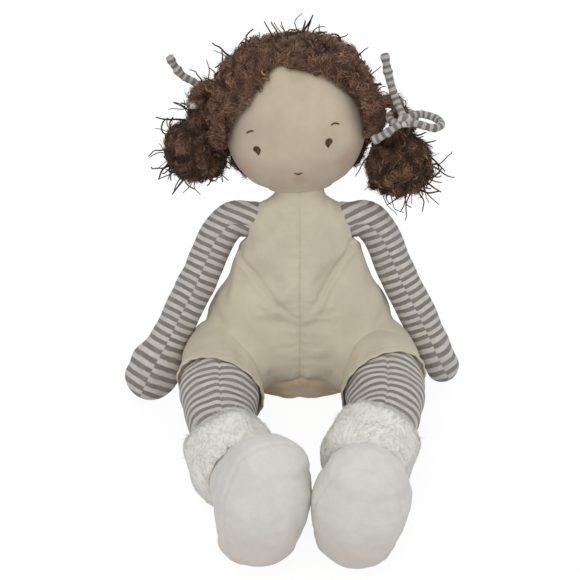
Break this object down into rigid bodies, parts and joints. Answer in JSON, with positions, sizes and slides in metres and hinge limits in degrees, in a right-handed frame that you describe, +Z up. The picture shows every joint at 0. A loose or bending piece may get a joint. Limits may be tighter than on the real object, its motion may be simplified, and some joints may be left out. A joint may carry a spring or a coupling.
{
  "type": "rag doll",
  "caption": "Stuffed rag doll sitting by itself: cream romper torso, striped jersey limbs, velour boots with fur cuffs, linen face and yarn hair with hanging buns; neck, limbs and buns move.",
  "frame": {"origin": "on the flat underside of the seat, in the middle plane of the torso", "axes": "+Z up, the doll faces -Y, its own left is +X"},
  "size_m": [0.2284, 0.2952, 0.2212],
  "materials": {
    "cream_cotton": "plain cotton weave",
    "linen": "fine linen weave",
    "striped_jersey": "grey and white striped jersey knit",
    "yarn_hair": "boucle yarn",
    "fur": "short shaggy fur",
    "velour": "velour with a short nap",
    "fibre_filling": "polyester fibre",
    "pellets": "pellets in a cloth bag"
  },
  "bodies": {
    "torso": {"torso_front_left": "cream_cotton", "torso_front_right": "cream_cotton", "torso_back": "cream_cotton", "seat_gusset": "cream_cotton", "torso_stuffing": "fibre_filling", "pellet_bag": "pellets"},
    "head": {"face_panel": "linen", "head_back": "linen", "head_stuffing": "fibre_filling", "hair_cap": "yarn_hair", "tie_left_wrap": "striped_jersey", "tie_left_knot": "striped_jersey", "tie_left_tail_up": "striped_jersey", "tie_left_tail_down": "striped_jersey", "tie_left_loop": "striped_jersey", "tie_right_wrap": "striped_jersey", "tie_right_knot": "striped_jersey", "tie_right_tail_up": "striped_jersey"},
    "bun_left": {"hair_bun_left": "yarn_hair"},
    "bun_right": {"hair_bun_right": "yarn_hair"},
    "arm_left": {"arm_left_cover": "striped_jersey", "arm_left_stuffing": "fibre_filling"},
    "leg_left": {"romper_leg_left": "cream_cotton", "leg_left_cover": "striped_jersey", "leg_left_stuffing": "fibre_filling"},
    "boot_left": {"boot_left_upper": "velour", "boot_left_sole": "velour", "boot_left_stuffing": "fibre_filling", "cuff_left": "fur"},
    "arm_right": {"arm_right_cover": "striped_jersey", "arm_right_stuffing": "fibre_filling"},
    "leg_right": {"romper_leg_right": "cream_cotton", "leg_right_cover": "striped_jersey", "leg_right_stuffing": "fibre_filling"},
    "boot_right": {"boot_right_upper": "velour", "boot_right_sole": "velour", "boot_right_stuffing": "fibre_filling", "cuff_right": "fur"}
  },
  "joints": [
    {"name": "neck_nod", "type": "hinge", "parent": "torso", "child": "head", "pos_m": [0, 0.04671, 0.12778], "axis": [1, 0, 0], "range_deg": [-14, 9]},
    {"name": "shoulder_left", "type": "hinge", "parent": "torso", "child": "arm_left", "pos_m": [0.034, 0.03431, 0.1038], "axis": [1, 0, 0], "range_deg": [-90, 60]},
    {"name": "hip_left", "type": "hinge", "parent": "torso", "child": "leg_left", "pos_m": [0.055, -0.012, 0.029], "axis": [1, 0, 0], "range_deg": [-30, 85]},
    {"name": "ankle_left", "type": "hinge", "parent": "leg_left", "child": "boot_left", "pos_m": [0.04415, -0.10966, 0.03601], "axis": [1, 0, 0], "range_deg": [-11, 11]},
    {"name": "bun_swing_left", "type": "hinge", "parent": "head", "child": "bun_left", "pos_m": [0.06596, 0.04771, 0.17078], "axis": [1, 0, 0], "range_deg": [-20, 20]},
    {"name": "shoulder_right", "type": "hinge", "parent": "torso", "child": "arm_right", "pos_m": [-0.034, 0.03431, 0.1038], "axis": [1, 0, 0], "range_deg": [-90, 60]},
    {"name": "hip_right", "type": "hinge", "parent": "torso", "child": "leg_right", "pos_m": [-0.055, -0.012, 0.029], "axis": [1, 0, 0], "range_deg": [-30, 85]},
    {"name": "ankle_right", "type": "hinge", "parent": "leg_right", "child": "boot_right", "pos_m": [-0.04318, -0.10941, 0.02856], "axis": [1, 0, 0], "range_deg": [-11, 11]},
    {"name": "bun_swing_right", "type": "hinge", "parent": "head", "child": "bun_right", "pos_m": [-0.06854, 0.06057, 0.17428], "axis": [1, 0, 0], "range_deg": [-20, 20]}
  ]
}
